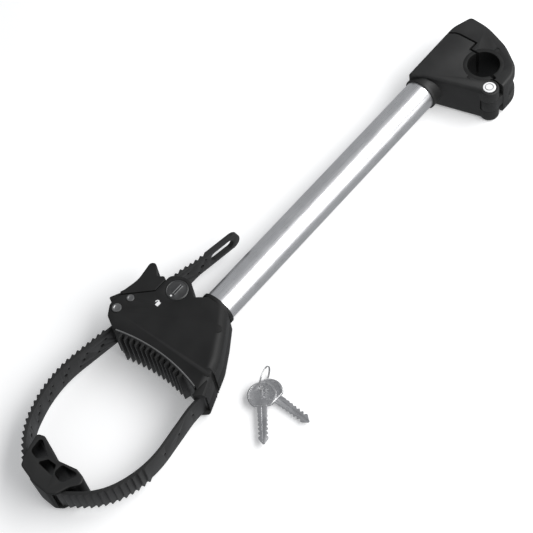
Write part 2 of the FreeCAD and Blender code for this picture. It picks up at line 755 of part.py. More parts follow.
def strap_pad():
    """V-shaped rubber pad that slides on the strap, with three cut-outs."""
    outline = [
        (191, 20.5, 3), (189.5, 13, 3), (193.5, -5, 4), (184.5, -30, 4), (187, -37, 3),
        (205, -32.5, 6), (215.5, -27.5, 4), (220.4, -7, 12), (220.4, 8, 6), (216, 14.5, 4),
        (205, 19, 6), (195, 27.5, 5),
    ]
    windows = [
        [(186.5, -31.5, 2.5), (201.5, -30, 4), (203.5, -20.5, 4), (196.5, -13.8, 2)],
        [(205.3, -17.8, 1.2), (197.9, -12.2, 1.2), (197.6, -3.4, 1.2), (206.6, 1.4, 1.2)],
        [(194.3, 0.4, 3), (204.2, -0.2, 4), (206.6, 11.3, 4), (191.8, 18.6, 2.5)],
    ]
    pad = plate(outline, -pad_half, pad_half)
    pad = soften(pad, 1.5, lambda e: rim_edge(e, pad_half))
    for window in windows:
        pad = pad.cut(plate(window, -pad_half - 1, pad_half + 1))
    depth = strap_thickness + tooth_height
    room = band(loop_corners, -pad_play, depth + pad_play, strap_half + gap)
    for shift in (-pad_travel, 0.0, pad_travel):
        pad = pad.cut(room.translated(V(0, shift, 0)))
    return largest(pad)


# ---- lever and pawls ----
def lever_parts():
    """Hand lever with its two arms, the pivot pin and its clip."""
    grip_half = housing_half - 0.5
    grip = [
        (27.0, -48.7, 1.5), (46.6, -69.6, 1.0), (49.5, -75.0, 1.5), (43, -71.6, 10),
        (28, -68.6, 30), (8, -72, 4), (6, -67, 3), (15.3, -57, 2), (11.6, -52.5, 2),
        (13.2, -48.7, 1.5),
    ]
    arms = [
        (38, -63.5), (52, -63.2), (58, -57.6, 3), (66.2, -57.6, 5), (66.2, -69, 5),
        (59.5, -70.5, 2), (55.5, -78.6, 1.5), (49, -75, 3), (38, -69),
    ]
    hollow = [(-2, -40), (-2, -62.5), (30, -65.3, 8), (46, -68), (53, -70.4), (80, -72), (80, -40)]
    lever = plate(grip, -grip_half, grip_half)
    lever = soften(lever, 0.8, lambda e: rim_edge(e, grip_half))
    lever = lever.fuse(plate(arms, -arm_outer, arm_outer))
    lever = lever.cut(plate(hollow, -channel_half, channel_half))
    bore = lever_pin_radius + pin_clearance
    lever = lever.cut(post(lever_pivot, bore, -housing_reach, housing_reach))
    lever = lever.cut(post(drive_pivot, pawl_pin_radius, -housing_reach, housing_reach))
    lever = lever.cut(box(12.6, 19.4, -57, -48, -housing_half + 3.0, -channel_half + 1))
    return {
        "ratchet_lever": lever.removeSplitter(),
        "lever_pivot_pin": headed_pin(lever_pivot, lever_pin_radius, 1.2),
        "lever_pin_clip": pin_clip(lever_pivot, lever_pin_radius),
    }


def headed_pin(centre, radius, head_height):
    """Pin through the whole housing, with a low round head on the top face."""
    top = housing_half + head_height
    pin = post(centre, radius, -housing_half + 0.1, housing_half)
    head = post(centre, radius + rivet_head_overhang, housing_half, top)
    head = soften(head, 0.4 * head_height, lambda e: e.BoundBox.ZMin > top - 0.1)
    return one([pin, head])


def pin_clip(centre, radius):
    """Ring that holds a pin from the underside."""
    low = -housing_half + 0.2
    high = -housing_half + 1.0
    return post(centre, radius + rivet_head_overhang, low, high).cut(post(centre, radius, low, high))


def pawl(pivot, hub, tip, z0, z1):
    """Pawl with a round hub and a straight nose."""
    across = V(tip[0] - pivot[0], tip[1] - pivot[1], 0)
    side = V(-across.y, across.x, 0).normalize() * (hub * 0.8)
    nose = V(-across.y, across.x, 0).normalize() * 0.5
    base = V(pivot[0], pivot[1], z0)
    end = V(tip[0], tip[1], z0)
    ring = [base + side, end + nose, end - nose, base - side]
    arm = Part.Face(Part.makePolygon(ring + ring[:1])).extrude(V(0, 0, z1 - z0))
    shape = one([post(pivot, hub, z0, z1), arm])
    return shape.cut(post(pivot, pawl_pin_radius + pin_clearance, z0, z1))


def pawl_parts():
    """Drive pawl on the lever, holding pawl on the housing, and their pins."""
    tooth_line = strap_thickness + tooth_height + gap + 0.3
    drive_x = 57.5
    hold_x = 39.5
    drive_tip = (drive_x, tail_y(drive_x) - tooth_line)
    hold_tip = (hold_x, tail_y(hold_x) - tooth_line)
    return {
        "drive_pawl": pawl(drive_pivot, 3.0, drive_tip, 1.0, 12.0),
        "drive_pawl_pin": post(drive_pivot, pawl_pin_radius, -arm_outer, arm_outer),
        "holding_pawl": pawl(hold_pivot, 2.5, hold_tip, -12.0, -1.0),
        "holding_pawl_pin": headed_pin(hold_pivot, pawl_pin_radius, 0.8),
        "holding_pin_clip": pin_clip(hold_pivot, pawl_pin_radius),
    }


# ---- lock ----
lock_plug_radius = 5.5


def lock_parts():
    """Barrel, plug with its face, index dot, cam and the bolt that blocks the lever."""
    x, y = lock_centre
    top = housing_half + 0.2
    face_z = housing_half - 2.0
    low = -channel_half + 0.2
    cam_low = -housing_half + 3.4
    cam_high = low - 0.4
    bore = lock_plug_radius + pin_clearance
    barrel = post(lock_centre, lock_barrel_diameter / 2, low, face_z - 0.1)
    barrel = barrel.cut(post(lock_centre, bore, low, face_z))
    face = post(lock_centre, lock_face_diameter / 2, face_z, top)
    face = soften(face, 0.5, lambda e: e.BoundBox.ZMin > top - 0.1)
    raised = plate([(x - 6, y - 1.2, 1), (x + 5.2, y - 1.2, 1),
                    (x + 5.2, y + 2.2, 1), (x - 6, y + 2.2, 1)], top, top + 0.5)
    keyway = plate([(x - 4.6, y, 0.4), (x + 4.2, y, 0.4),
                    (x + 4.2, y + 1, 0.4), (x - 4.6, y + 1, 0.4)], top - 12, top + 1)
    dot = post((x + 7.4, y - 0.4), 0.9, top - 0.3, top + 0.15)
    plug = one([post(lock_centre, lock_plug_radius, cam_high, face_z), face, raised])
    plug = plug.cut(keyway).cut(dot)
    cam = post(lock_centre, 2.6, cam_low, cam_high)
    lobe = plate([(x, y - 2.5), (x + 8.5, y - 2.5, 2.4), (x + 8.5, y + 2.5, 2.4), (x, y + 2.5)],
                 cam_low, cam_high)
    bolt = plate([(13.6, -46.9, 1), (18.4, -46.9, 1), (18.4, y - 4.0), (13.6, y - 4.0)],
                 cam_low + 0.1, cam_high - 0.1)
    return {
        "lock_barrel": barrel,
        "lock_plug": plug,
        "lock_index_dot": dot,
        "lock_cam": one([cam, lobe]),
        "lock_bolt": bolt,
        "lock_mark": lock_mark(),
    }


# ---- keys, lying beside the arm; the ring stands on its edge and passes through both holes ----
key_thickness = 1.8
key_hole_radius = 2.5
key_hole_offset = 7.0       # head centre to hole centre
ring_radius = 9.5
ring_wire = 0.7
ring_foot = (25.3, 70.6)    # where the ring touches the floor, in the housing's frame
ring_heading = 17.0         # direction of the ring's plane
key_low_z = 2.8             # underside of the lower key above the floor


def ring_reach(height):
    """Distance along the ring's plane at which its wire has risen to a height above the floor."""
    drop = ring_radius + ring_wire - height
    return math.sqrt(ring_radius ** 2 - drop ** 2)


def key_hole_place(level):
    """Centre of a key's hole: on the ring's wire at the middle of the key's thickness."""
    reach = ring_reach(level + key_thickness / 2)
    heading = math.radians(ring_heading)
    return (ring_foot[0] + reach * math.cos(heading), ring_foot[1] + reach * math.sin(heading))


def key(angle, level):
    """Flat key: round head with a raised rim and a flat foot, and a blade cut on both sides."""
    head_radius = key_head_diameter / 2
    centre = key_hole_offset
    blade_half = 4.2
    taper = 5.0
    end = centre + key_length - head_radius
    skin = 0.3
    head = post((centre, 0), head_radius, 0, key_thickness)
    head = head.common(box(centre - 20, centre + head_radius - 2.2, -20, 20, 0, key_thickness))
    panel = post((centre, 0), head_radius - 2.0, 0, skin)
    head = head.cut(panel).cut(panel.translated(V(0, 0, key_thickness - skin)))
    start = centre + head_radius - 4
    blade = plate([(start, -blade_half), (end - taper, -blade_half), (end, -0.7), (end, 0.7),
                   (end - taper, blade_half), (start, blade_half)], 0.1, key_thickness - 0.1)
    for k, depth in enumerate((0.5, 0.9, 1.2, 1.6, 2.0, 2.2)):
        x = start + 9.0 + 4.0 * k
        for side in (-1, 1):
            notch = plate([(x - 1.8, side * (blade_half + 0.1)), (x, side * (blade_half - depth)),
                           (x + 1.8, side * (blade_half + 0.1))], -1, key_thickness + 1)
            blade = blade.cut(notch)
    groove = box(start + 3, end - 1.5, -0.7, 0.7, key_thickness - 0.7, key_thickness)
    shape = one([head, blade]).cut(groove).cut(post((0, 0), key_hole_radius, -1, key_thickness + 1))
    shape.rotate(V(0, 0, 0), V(0, 0, 1), angle)
    x, y = key_hole_place(level)
    return shape.translated(V(x, y, floor_z + level))


def key_parts():
    """Split ring and two keys."""
    heading = math.radians(ring_heading)
    across = V(-math.sin(heading), math.cos(heading), 0)
    centre = V(ring_foot[0], ring_foot[1], floor_z + ring_wire + ring_radius)
    return {
        "key_1": key(42.5, key_low_z + key_thickness + 0.1),
        "key_2": key(89.0, key_low_z),
        "key_ring": Part.makeTorus(ring_radius, ring_wire, centre, across),
    }


# ---- all parts ----
def build():
    """Every node by name, in the arm's own frame."""
    nodes = {}
    nodes.update(clamp_parts())
    nodes.update(tube_parts())
    top, bottom = housing_shells()
    local = {"housing_shell_top": top, "housing_shell_bottom": bottom, "saddle_pad": saddle_pad()}
    local["housing_screws"] = Part.Compound([screw(p) for p in screw_places])
    local.update(strap_parts())
    local["strap_pad"] = strap_pad()
    local.update(lever_parts())
    local.update(pawl_parts())
    local.update(lock_parts())
    local.update(key_parts())
    for name, shape in local.items():
        nodes[name] = place(shape)
    return nodes


def main():
    """Write one STEP file for each node."""
    os.makedirs("parts", exist_ok=True)
    for name, shape in build().items():
        shape.exportStep(os.path.join("parts", name + ".step"))
        solids = len(shape.Solids)
        print(f"{name:24s} solids {solids}  volume {shape.Volume:10.1f}  valid {shape.isValid()}")


main()
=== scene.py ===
import json
import math

import bmesh
import bpy
from mathutils import Matrix, Vector

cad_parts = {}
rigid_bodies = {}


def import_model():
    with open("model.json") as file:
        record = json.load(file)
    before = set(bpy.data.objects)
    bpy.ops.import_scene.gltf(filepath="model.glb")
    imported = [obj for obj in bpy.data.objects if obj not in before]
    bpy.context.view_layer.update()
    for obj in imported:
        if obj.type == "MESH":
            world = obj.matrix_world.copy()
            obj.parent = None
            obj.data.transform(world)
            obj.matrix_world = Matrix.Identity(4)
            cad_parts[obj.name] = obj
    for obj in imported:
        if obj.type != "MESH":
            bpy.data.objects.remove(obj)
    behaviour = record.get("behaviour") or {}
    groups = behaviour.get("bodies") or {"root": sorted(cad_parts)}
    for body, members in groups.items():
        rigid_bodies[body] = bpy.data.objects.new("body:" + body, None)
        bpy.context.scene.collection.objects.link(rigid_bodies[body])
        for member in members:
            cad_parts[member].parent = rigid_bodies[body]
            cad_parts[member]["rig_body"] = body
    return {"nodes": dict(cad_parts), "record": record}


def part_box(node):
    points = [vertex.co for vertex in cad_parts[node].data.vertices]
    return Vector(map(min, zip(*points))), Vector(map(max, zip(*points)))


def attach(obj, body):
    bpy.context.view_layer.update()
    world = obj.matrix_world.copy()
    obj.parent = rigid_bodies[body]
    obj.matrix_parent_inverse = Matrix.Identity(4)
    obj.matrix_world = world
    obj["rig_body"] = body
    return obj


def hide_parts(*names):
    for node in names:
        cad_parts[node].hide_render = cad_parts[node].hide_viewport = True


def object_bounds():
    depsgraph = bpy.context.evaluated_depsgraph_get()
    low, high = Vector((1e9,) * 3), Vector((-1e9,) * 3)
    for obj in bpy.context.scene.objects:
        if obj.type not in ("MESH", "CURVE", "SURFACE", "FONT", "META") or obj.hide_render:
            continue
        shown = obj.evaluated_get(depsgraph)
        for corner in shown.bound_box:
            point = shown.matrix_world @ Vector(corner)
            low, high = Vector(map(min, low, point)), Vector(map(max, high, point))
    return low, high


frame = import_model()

cad_low, cad_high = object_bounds()

# ---- camera: the viewing angle of a product picture, looking down at the arm ----
CAMERA_PLACE = Vector((0.7209, 0.5209, 1.0664))
CAMERA_AIM = Vector((0.2814, -0.0302, 0.0))
CAMERA_ROLL = math.radians(13.1)
CAMERA_LENS = 97.94
CAMERA_SENSOR = 36.0
CAMERA_SIGHT = 20.0         # how far the camera sees, in metres

# ---- stage ----
FLOOR_Z = cad_low.z
FLOOR_DROP = 0.0002         # keeps the floor clear of the underside
FLOOR_REACH = 6.0
FLOOR_TONE = 0.93
FLOOR_GLOW = 0.22           # lifts the shadows on the pale floor
WORLD_COLOUR = (0.95, 0.97, 1.0, 1.0)
WORLD_STRENGTH = 0.36
LIGHT_AIM = Vector((0.2, -0.03, 0.0))
SOFT_BOXES = {              # place from the aim, sides in metres, power in watts
    "soft_box_long": (Vector((-0.64, 0.88, 1.17)), (2.4, 0.9), 34.0),
    "card_low": (Vector((-0.4, 1.7, 0.25)), (2.4, 0.4), 5.0),
}

# ---- textures: noise in features for each metre, bumps as (strength, depth in metres) ----
NOISE_LOW = 0.3             # nearly all noise values lie between these two
NOISE_HIGH = 0.7
PLASTIC_GRAIN = 2600.0
PLASTIC_MOTTLE = 45.0
STRAP_GRAIN = 3200.0
RUBBER_GRAIN = 1800.0
RUBBER_MOTTLE = 70.0
METAL_CLOUD = 60.0
GRAIN_BUMP = (0.22, 0.00012)
MOTTLE_BUMP = (0.08, 0.0006)
RUBBER_BUMP = (0.3, 0.00015)
METAL_BUMP = 0.25           # strength; the depth goes with each metal
# Painted shade: the liner's material is darker inside this radius.
LINER_BORE = 0.0154         # the liner counts as its inner wall up to this radius
LINER_BLEND = 0.0001

# ---- rolled edges and round pieces, in metres ----
MERGE_DISTANCE = 2e-6
FLAT_ANGLE = math.radians(1.0)      # facets closer than this become one face
ROLL_ANGLE = math.radians(32.0)     # edges sharper than this are rolled over
CREASE_ANGLE = math.radians(40.0)
TURNED_CREASE = math.radians(35.0)
ROLL_STEPS = 2
BEAD_STEPS = 3
ROUND_STEPS = 48

# ---- rivet heads: shares of the head's radius, and of its height down from the top ----
RIVET_HEAD = (
    (0.985, 1.0), (1.0, 0.65), (0.93, 0.12), (0.82, 0.0),
    (0.62, 0.08), (0.50, 0.45), (0.30, 0.55), (0.05, 0.55),
)
RIVET_TIP = 0.8             # share of the shaft's radius at its lower end
RIVET_CHAMFER = 0.0003
PIN_RING = 0.62             # share of the hinge pin's head radius
PIN_RING_BEAD = 0.00035

# ---- lock face, in metres ----
LOCK_RIM = 0.0009           # width of the rolled rim
LOCK_RIM_STEPS = 64
LOCK_BAR_LENGTH = 0.0112
LOCK_BAR_WIDTH = 0.0034
LOCK_BAR_HEIGHT = 0.0005
LOCK_BAR_SHIFT = Vector((-0.0004, 0.0005, 0.0))     # middle of the bar from the plug's axis
LOCK_RIB_PLACE = 0.32       # the two ribs on the bar, as shares of its width and height
LOCK_RIB_WIDTH = 0.36
LOCK_RIB_HEIGHT = 1.15
LOCK_RIB_ROLL = 0.00025

# ---- saddle pad, in metres ----
SADDLE_MIDDLE = Vector((0.578, -0.038, 0.0))        # axis of the saddle's arc
SADDLE_RADIUS = 0.170
SADDLE_BEAD = 0.0007
SADDLE_BEAD_OUT = 0.0003    # how far the bead's path stands out of the arc
SADDLE_END = 0.004          # angle left free at each end
SADDLE_STEPS = 60

# ---- keys and their ring, in metres ----
KEY_HEADINGS = {"key_1": math.radians(42.5), "key_2": math.radians(89.0)}
KEY_HOLE_TO_HEAD = 0.007    # from the swing axis to the middle of the round head
KEY_HEAD_RADIUS = 0.0125
KEY_FOOT = 0.0026           # depth of the flat that cuts the head's circle
KEY_BEAD = 0.0003
KEY_BEAD_IN = 2             # path of the bead inside the outline, in bead radii
KEY_BEAD_DOWN = 0.3         # path of the bead under the top face, in bead radii
KEY_STEPS = 60
KEY_RING_WIRE = 0.0007      # wire radius of the CAD ring
SPLIT_WIRE = 0.0004         # wire radius of the wound ring
SPLIT_TURNS = 2
SPLIT_STEPS = 96
SPLIT_PITCH = 1.05          # half the distance between the two turns, in wire radii
SPLIT_CROSSING = 12         # how quickly one turn goes over into the other


# ---------------------------------------------------------------- materials
def material(name, colour, roughness, metallic=0.0):
    """New node material. Returns it with its node tree and its shader."""
    made = bpy.data.materials.new(name)
    made.use_nodes = True
    made.diffuse_color = (*colour, 1.0)
    tree = made.node_tree
    shader = tree.nodes["Principled BSDF"]
    shader.inputs["Base Color"].default_value = (*colour, 1.0)
    shader.inputs["Roughness"].default_value = roughness
    shader.inputs["Metallic"].default_value = metallic
    return made, tree, shader


def object_position(tree, stretch=(1.0, 1.0, 1.0)):
    """The point's place on its own piece, stretched along each axis."""
    where = tree.nodes.new("ShaderNodeTexCoord")
    mapping = tree.nodes.new("ShaderNodeMapping")
    mapping.inputs["Scale"].default_value = stretch
    tree.links.new(where.outputs["Object"], mapping.inputs["Vector"])
    return mapping.outputs["Vector"]


def noise(tree, position, scale, detail=2.0, roughness=0.5):
    """Noise value at a scale given in features for each metre."""
    node = tree.nodes.new("ShaderNodeTexNoise")
    node.inputs["Scale"].default_value = scale
    node.inputs["Detail"].default_value = detail
    node.inputs["Roughness"].default_value = roughness
    tree.links.new(position, node.inputs["Vector"])
    return node.outputs["Fac"]


def spread(tree, value, low, high, start=NOISE_LOW, end=NOISE_HIGH):
    """Map a value that runs from start to end to the range from low to high."""
    node = tree.nodes.new("ShaderNodeMapRange")
    node.inputs["From Min"].default_value = start
    node.inputs["From Max"].default_value = end
    node.inputs["To Min"].default_value = low
    node.inputs["To Max"].default_value = high
    tree.links.new(value, node.inputs["Value"])
    return node.outputs["Result"]


def two_tone(tree, value, dark, light):
    """Colour between two tones by a value from 0 to 1."""
    ramp = tree.nodes.new("ShaderNodeValToRGB")
    ramp.color_ramp.elements[0].position = NOISE_LOW
    ramp.color_ramp.elements[0].color = (*dark, 1.0)
    ramp.color_ramp.elements[1].position = NOISE_HIGH
    ramp.color_ramp.elements[1].color = (*light, 1.0)
    tree.links.new(value, ramp.inputs["Fac"])
    return ramp.outputs["Color"]


def bumps(tree, heights):
    """Chain of bump nodes, one for each (value, strength, depth)."""
    normal = None
    for value, strength, depth in heights:
        node = tree.nodes.new("ShaderNodeBump")
        node.inputs["Strength"].default_value = strength
        node.inputs["Distance"].default_value = depth
        tree.links.new(value, node.inputs["Height"])
        if normal is not None:
            tree.links.new(normal, node.inputs["Normal"])
        normal = node.outputs["Normal"]
    return normal


def grey(value):
    """Neutral colour."""
    return (value, value, value)


def moulded_plastic(name, dark, light, roughness, gloss=0.42):
    """Moulded polymer: fine spark-eroded grain, slow mottling and uneven gloss."""
    made, tree, shader = material(name, grey(light), roughness)
    place = object_position(tree)
    fine = noise(tree, place, PLASTIC_GRAIN, detail=3.0, roughness=0.6)
    slow = noise(tree, place, PLASTIC_MOTTLE, detail=3.0, roughness=0.55)
    tree.links.new(two_tone(tree, slow, grey(dark), grey(light)), shader.inputs["Base Color"])
    tree.links.new(spread(tree, slow, roughness - 0.05, roughness + 0.06), shader.inputs["Roughness"])
    normal = bumps(tree, [(slow, *MOTTLE_BUMP), (fine, *GRAIN_BUMP)])
    tree.links.new(normal, shader.inputs["Normal"])
    shader.inputs["Specular IOR Level"].default_value = gloss
    return made


def strap_plastic(name):
    """Glossy strap: painted highlight along the crests of its teeth, painted shade in their roots."""
    made, tree, shader = material(name, grey(0.008), 0.4)
    fine = noise(tree, object_position(tree), STRAP_GRAIN, detail=3.0, roughness=0.6)
    geometry = tree.nodes.new("ShaderNodeNewGeometry")
    # Painted highlight and shade: pointiness lightens the tooth crests and darkens their roots; the
    # crests are also glossier.
    crest_light_root_shade = spread(tree, geometry.outputs["Pointiness"], 0.0, 1.0, start=0.47, end=0.56)
    tree.links.new(two_tone(tree, crest_light_root_shade, grey(0.0025), grey(0.022)), shader.inputs["Base Color"])
    tree.links.new(spread(tree, crest_light_root_shade, 0.48, 0.34, start=0.0, end=1.0), shader.inputs["Roughness"])
    tree.links.new(bumps(tree, [(fine, *GRAIN_BUMP)]), shader.inputs["Normal"])
    shader.inputs["Specular IOR Level"].default_value = 0.45
    return made


def rubber_texture(tree, place, shader, smooth, rough):
    """Fine even texture of rubber, with its roughness between two values."""
    fine = noise(tree, place, RUBBER_GRAIN, detail=4.0, roughness=0.7)
    tree.links.new(spread(tree, fine, smooth, rough), shader.inputs["Roughness"])
    tree.links.new(bumps(tree, [(fine, *RUBBER_BUMP)]), shader.inputs["Normal"])


def pad_rubber(name):
    """Rubber of the strap pad: painted light on its upward faces, painted shade darkening the walls of
    its windows.
    """
    made, tree, shader = material(name, grey(0.014), 0.5)
    rubber_texture(tree, object_position(tree), shader, 0.46, 0.58)
    where = tree.nodes.new("ShaderNodeTexCoord")
    split = tree.nodes.new("ShaderNodeSeparateXYZ")
    tree.links.new(where.outputs["Normal"], split.inputs["Vector"])
    size = tree.nodes.new("ShaderNodeMath")
    size.operation = "ABSOLUTE"
    tree.links.new(split.outputs["Z"], size.inputs[0])
    # Painted light and shade: faces that point up get the light tone, the steep walls of the windows
    # the dark tone.
    flat = spread(tree, size.outputs["Value"], 0.0, 1.0, start=0.15, end=0.85)
    tree.links.new(two_tone(tree, flat, grey(0.0025), grey(0.020)), shader.inputs["Base Color"])
    shader.inputs["Specular IOR Level"].default_value = 0.30
    return made


def soft_rubber(name, dark, light, roughness):
    """Rubber: matt, a little sheen, fine even texture."""
    made, tree, shader = material(name, grey(light), roughness)
    place = object_position(tree)
    rubber_texture(tree, place, shader, roughness - 0.06, roughness + 0.06)
    slow = noise(tree, place, RUBBER_MOTTLE)
    tree.links.new(two_tone(tree, slow, grey(dark), grey(light)), shader.inputs["Base Color"])
    shader.inputs["Sheen Weight"].default_value = 0.12
    shader.inputs["Sheen Roughness"].default_value = 0.45
    shader.inputs["Specular IOR Level"].default_value = 0.38
    return made


def liner_rubber(name):
    """Liner of the bar bore: matt rubber, with painted shade darkening its inner wall."""
    made, tree, shader = material(name, grey(0.013), 0.66)
    place = object_position(tree)
    rubber_texture(tree, place, shader, 0.58, 0.70)
    flat = tree.nodes.new("ShaderNodeVectorMath")
    flat.operation = "MULTIPLY"
    flat.inputs[1].default_value = (1.0, 1.0, 0.0)
    tree.links.new(place, flat.inputs[0])
    reach = tree.nodes.new("ShaderNodeVectorMath")
    reach.operation = "LENGTH"
    tree.links.new(flat.outputs["Vector"], reach.inputs[0])
    # Painted shade: the inner wall, inside the bore radius, gets the dark tone; the ends keep the
    # lighter one.
    painted_bore_shade_mask = spread(tree, reach.outputs["Value"], 0.0, 1.0,
                     start=LINER_BORE - LINER_BLEND, end=LINER_BORE + LINER_BLEND)
    tree.links.new(two_tone(tree, painted_bore_shade_mask, grey(0.002), grey(0.014)), shader.inputs["Base Color"])
    shader.inputs["Specular IOR Level"].default_value = 0.22
    return made


def metal(name, dark, light, roughness, stretch=(1.0, 1.0, 1.0), scale=700.0, depth=0.00004,
          metallic=1.0):
    """Metal with fine marks; stretch draws the marks out along an axis."""
    made, tree, shader = material(name, light, roughness, metallic)
    marks = noise(tree, object_position(tree, stretch), scale, detail=4.0, roughness=0.65)
    cloud = noise(tree, object_position(tree), METAL_CLOUD)
    tree.links.new(two_tone(tree, cloud, dark, light), shader.inputs["Base Color"])
    tree.links.new(spread(tree, marks, roughness - 0.06, roughness + 0.07), shader.inputs["Roughness"])
    tree.links.new(bumps(tree, [(marks, METAL_BUMP, depth)]), shader.inputs["Normal"])
    return made


PLASTIC = moulded_plastic("black_moulded_plastic", 0.006, 0.010, 0.58, gloss=0.36)
CLAMP_PLASTIC = moulded_plastic("black_clamp_plastic", 0.012, 0.018, 0.5, gloss=0.38)
STRAP_PLASTIC = strap_plastic("black_strap_plastic")
LINER_RUBBER = liner_rubber("bar_liner_rubber")
PAD_RUBBER = pad_rubber("pad_rubber")
SADDLE_RUBBER = soft_rubber("saddle_rubber", 0.008, 0.014, 0.5)
# Lighter copy of the saddle rubber: a painted highlight along the saddle pad's rolled lip.
SADDLE_LIP_HIGHLIGHT = soft_rubber("saddle_lip_highlight_rubber", 0.10, 0.16, 0.5)
ALUMINIUM = metal("satin_anodised_aluminium", (0.80, 0.80, 0.81), (0.88, 0.88, 0.89), 0.30,
                  stretch=(0.04, 1.0, 1.0), scale=1500.0, depth=0.00003)
ZINC = metal("zinc_plated_steel", grey(0.24), grey(0.34), 0.38)
PIN_BRIGHT = metal("bright_plated_pin", grey(0.94), grey(0.99), 0.5, metallic=0.25)
LOCK_FACE = metal("dark_lock_face", grey(0.10), grey(0.16), 0.42, scale=1200.0)
LOCK_RIM_METAL = metal("worn_lock_rim", grey(0.09), grey(0.15), 0.45, scale=1200.0)
LOCK_BAR_METAL = metal("worn_lock_bar", grey(0.42), grey(0.56), 0.45, scale=1200.0)
LOCK_BODY = metal("lock_body_zinc", (0.35, 0.35, 0.36), (0.48, 0.48, 0.49), 0.40)
NICKEL_BRIGHT = metal("polished_nickel_edge", grey(0.66), grey(0.76), 0.34, scale=900.0)
NICKEL = metal("nickel_plated_brass", (0.50, 0.50, 0.51), (0.66, 0.66, 0.67), 0.30,
               stretch=(1.0, 0.3, 1.0), scale=900.0)
WHITE_MARK = moulded_plastic("white_printed_mark", 0.78, 0.88, 0.5)

CAD_LOOKS = {
    "black_plastic": PLASTIC,
    "satin_aluminium": ALUMINIUM,
    "zinc_steel": ZINC,
    "bright_pin": PIN_BRIGHT,
    "liner_rubber": LINER_RUBBER,
    "black_rubber": SADDLE_RUBBER,
    "strap_plastic": STRAP_PLASTIC,
    "lock_zinc": LOCK_BODY,
    "lock_face": LOCK_FACE,
    "white_mark": WHITE_MARK,
    "nickel": NICKEL,
}

# CAD nodes that get rolled edges, with the width of the roll in metres
ROLLED = (
    ("clamp_body", CLAMP_PLASTIC, 0.0006),
    ("clamp_jaw", CLAMP_PLASTIC, 0.0006),
    ("bar_liner_body", LINER_RUBBER, 0.0003),
    ("bar_liner_jaw", LINER_RUBBER, 0.0003),
    ("housing_shell_top", PLASTIC, 0.0005),
    ("housing_shell_bottom", PLASTIC, 0.0005),
    ("ratchet_lever", PLASTIC, 0.0005),
    ("strap_loop", STRAP_PLASTIC, 0.0002),
    ("strap_tail", STRAP_PLASTIC, 0.0002),
    ("strap_pad", PAD_RUBBER, 0.0005),
    ("saddle_pad", SADDLE_RUBBER, 0.0003),
    ("lock_plug", LOCK_FACE, 0.00015),
    ("key_1", NICKEL, 0.00012),
    ("key_2", NICKEL, 0.00012),
)


def dress_cad():
    """Give every CAD node the finish of its material slot in the record."""
    for subpart in frame["record"]["subparts"]:
        node = frame["nodes"][subpart["node"]]
        node.data.materials.clear()
        node.data.materials.append(CAD_LOOKS[subpart["material_slot"]])


# ---------------------------------------------------------------- pieces
def body_of(node):
    """Name of the CAD body that a node belongs to."""
    return frame["nodes"][node]["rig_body"]


def add_piece(name, mesh, look, body):
    """New piece in the scene, riding on a body."""
    piece = bpy.data.objects.new(name, mesh)
    bpy.context.scene.collection.objects.link(piece)
    mesh.materials.clear()
    mesh.materials.append(look)
    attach(piece, body)
    return piece


def smooth(mesh):
    """Smooth shading on every face."""
    mesh.polygons.foreach_set("use_smooth", [True] * len(mesh.polygons))


def shade(mesh, angle):
    """Smooth shading with sharp edges above an angle."""
    smooth(mesh)
    mesh.set_sharp_from_angle(angle=angle)


def level_circle(centre, radius, height, steps):
    """Points of a level circle about a centre."""
    points = []
    for k in range(steps):
        angle = 2 * math.pi * k / steps
        points.append((centre.x + radius * math.cos(angle),
                       centre.y + radius * math.sin(angle), height))
    return points


def directions(heading):
    """Level unit vectors along a heading and across it."""
    along = Vector((math.cos(heading), math.sin(heading), 0.0))
    across = Vector((-along.y, along.x, 0.0))
    return along, across


def rounded(node, look, width):
    """Copy of a CAD node with its sharp edges rolled over, standing in for the node."""
    grown = bmesh.new()
    grown.from_mesh(frame["nodes"][node].data)
    bmesh.ops.remove_doubles(grown, verts=grown.verts, dist=MERGE_DISTANCE)
    bmesh.ops.dissolve_limit(grown, angle_limit=FLAT_ANGLE, verts=grown.verts, edges=grown.edges)
    mesh = bpy.data.meshes.new(node + "_rounded")
    grown.to_mesh(mesh)
    grown.free()
    piece = add_piece(node + "_rounded", mesh, look, body_of(node))
    bevel = piece.modifiers.new("rolled_edges", "BEVEL")
    bevel.width = width
    bevel.segments = ROLL_STEPS
    bevel.limit_method = "ANGLE"
    bevel.angle_limit = ROLL_ANGLE
    bevel.use_clamp_overlap = True
    bevel.harden_normals = False
    shade(mesh, ROLL_ANGLE)
    graph = bpy.context.evaluated_depsgraph_get()
    final = bpy.data.meshes.new_from_object(piece.evaluated_get(graph))
    piece.modifiers.clear()
    piece.data = final
    shade(final, CREASE_ANGLE)
    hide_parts(node)


def tube_along(name, points, radius, look, body, closed=False):
    """Round bead along points, as a mesh."""
    curve = bpy.data.curves.new(name, "CURVE")
    curve.dimensions = "3D"
    curve.bevel_depth = radius
    curve.bevel_resolution = BEAD_STEPS
    curve.use_fill_caps = not closed
    spline = curve.splines.new("POLY")
    spline.points.add(len(points) - 1)
    for entry, point in zip(spline.points, points):
        entry.co = (*point, 1.0)
    spline.use_cyclic_u = closed
    maker = bpy.data.objects.new(name + "_path", curve)
    mesh = bpy.data.meshes.new_from_object(maker)
    bpy.data.objects.remove(maker)
    smooth(mesh)
    return add_piece(name, mesh, look, body)


